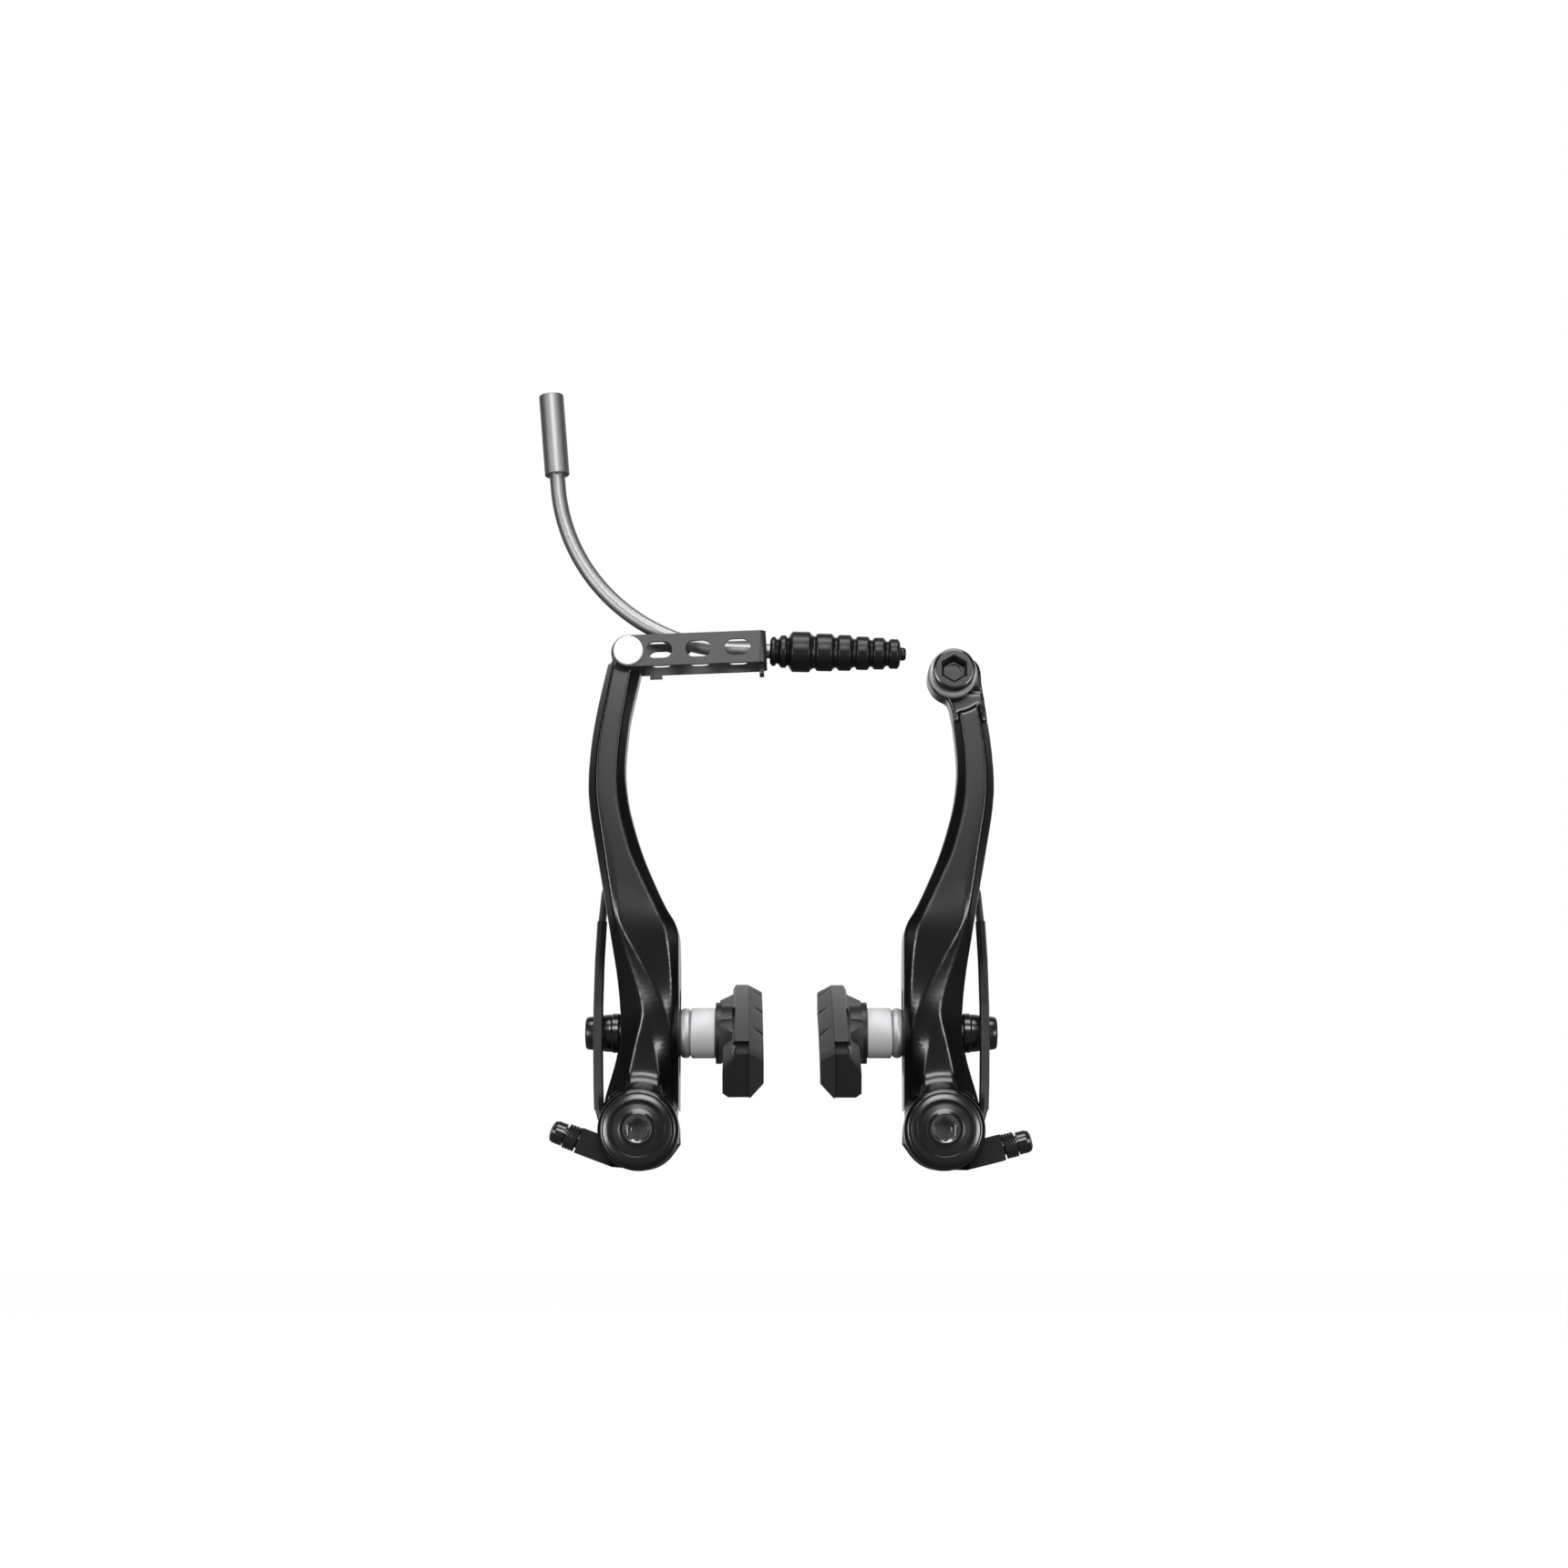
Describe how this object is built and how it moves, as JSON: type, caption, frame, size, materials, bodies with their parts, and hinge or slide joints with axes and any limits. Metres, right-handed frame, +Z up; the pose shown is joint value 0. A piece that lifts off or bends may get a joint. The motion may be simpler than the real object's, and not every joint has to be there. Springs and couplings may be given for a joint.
{
  "type": "bicycle rim brake",
  "caption": "Linear-pull bicycle rim brake: paired black arms with shoes, pivoting link, curved guide pipe with rubber boot, and cable clamp.",
  "frame": {"origin": "on the left pivot's axis, in the rear face of its bush, which seats on the fork boss", "axes": "+X from the left arm to the right arm, +Y along the pivots into the fork, +Z up along the arms"},
  "size_m": [0.1201, 0.0704, 0.1915],
  "materials": {
    "gloss_black_paint": "gloss",
    "black_steel": "satin",
    "plain_steel": "satin",
    "dark_spring_steel": "satin",
    "black_plastic": "matte",
    "grey_washer": "matte",
    "holder_grey": "matte",
    "pad_rubber": "matte",
    "link_steel": "satin",
    "bright_steel": "gloss",
    "pipe_silver": "satin",
    "boot_rubber": "matte"
  },
  "bodies": {
    "frame_side": {"left_bush": "plain_steel", "right_bush": "plain_steel", "left_pivot_bolt": "black_steel", "right_pivot_bolt": "black_steel", "left_spring_holder": "black_plastic", "right_spring_holder": "black_plastic", "left_anchor_pin": "plain_steel", "right_anchor_pin": "plain_steel", "left_return_spring": "dark_spring_steel", "right_return_spring": "dark_spring_steel", "left_spring_sleeve": "black_plastic", "right_spring_sleeve": "black_plastic", "left_adjuster_spring": "plain_steel", "right_adjuster_spring": "plain_steel"},
    "left_arm_group": {"left_arm": "gloss_black_paint", "left_hook_pin": "plain_steel", "left_shoe_post": "plain_steel", "left_shoe_holder": "holder_grey", "left_pad": "pad_rubber", "left_spacer_washer": "grey_washer", "left_convex_washer": "grey_washer", "left_nut_washer": "black_steel", "left_post_nut": "black_steel", "link_pin": "bright_steel"},
    "right_arm_group": {"right_arm": "gloss_black_paint", "right_hook_pin": "plain_steel", "right_shoe_post": "plain_steel", "right_shoe_holder": "holder_grey", "right_pad": "pad_rubber", "right_spacer_washer": "grey_washer", "right_convex_washer": "grey_washer", "right_nut_washer": "black_steel", "right_post_nut": "black_steel", "clamp_bolt": "black_steel", "clamp_washer": "grey_washer"},
    "link_group": {"link": "link_steel"},
    "guide_pipe_group": {"guide_pipe": "pipe_silver", "pipe_ferrule": "pipe_silver", "pipe_tip": "pipe_silver", "boot": "boot_rubber"},
    "left_adjuster": {"left_adjuster_screw": "black_steel"},
    "right_adjuster": {"right_adjuster_screw": "black_steel"}
  },
  "joints": [
    {"name": "left_arm_pivot", "type": "hinge", "parent": "frame_side", "child": "left_arm_group", "pos_m": [0, -0.01675, 0], "axis": [0, 1, 0], "range_deg": [-30, 7], "stiffness_Nm_per_rad": 1, "deforming": ["left_return_spring", "left_spring_sleeve", "boot"]},
    {"name": "right_arm_pivot", "type": "hinge", "parent": "frame_side", "child": "right_arm_group", "pos_m": [0.072, -0.01675, 0], "axis": [0, -1, 0], "range_deg": [-30, 7], "stiffness_Nm_per_rad": 1, "deforming": ["right_return_spring", "right_spring_sleeve", "boot"]},
    {"name": "link_pivot", "type": "hinge", "parent": "left_arm_group", "child": "link_group", "pos_m": [-0.0035, -0.01765, 0.1151], "axis": [0, 1, 0], "range_deg": [-60, 15]},
    {"name": "guide_pipe_swivel", "type": "hinge", "parent": "link_group", "child": "guide_pipe_group", "pos_m": [0.02998, -0.01765, 0.11629], "axis": [0.9997, 0, -0.0227], "range_deg": [-20, 20]},
    {"name": "left_adjuster_turn", "type": "hinge", "parent": "frame_side", "child": "left_adjuster", "pos_m": [-0.01432, -0.0151, -0.00233], "axis": [-0.9367, 0, 0.3502], "continuous": true},
    {"name": "right_adjuster_turn", "type": "hinge", "parent": "frame_side", "child": "right_adjuster", "pos_m": [0.08597, -0.0151, -0.00394], "axis": [0.9703, 0, 0.2419], "continuous": true}
  ]
}
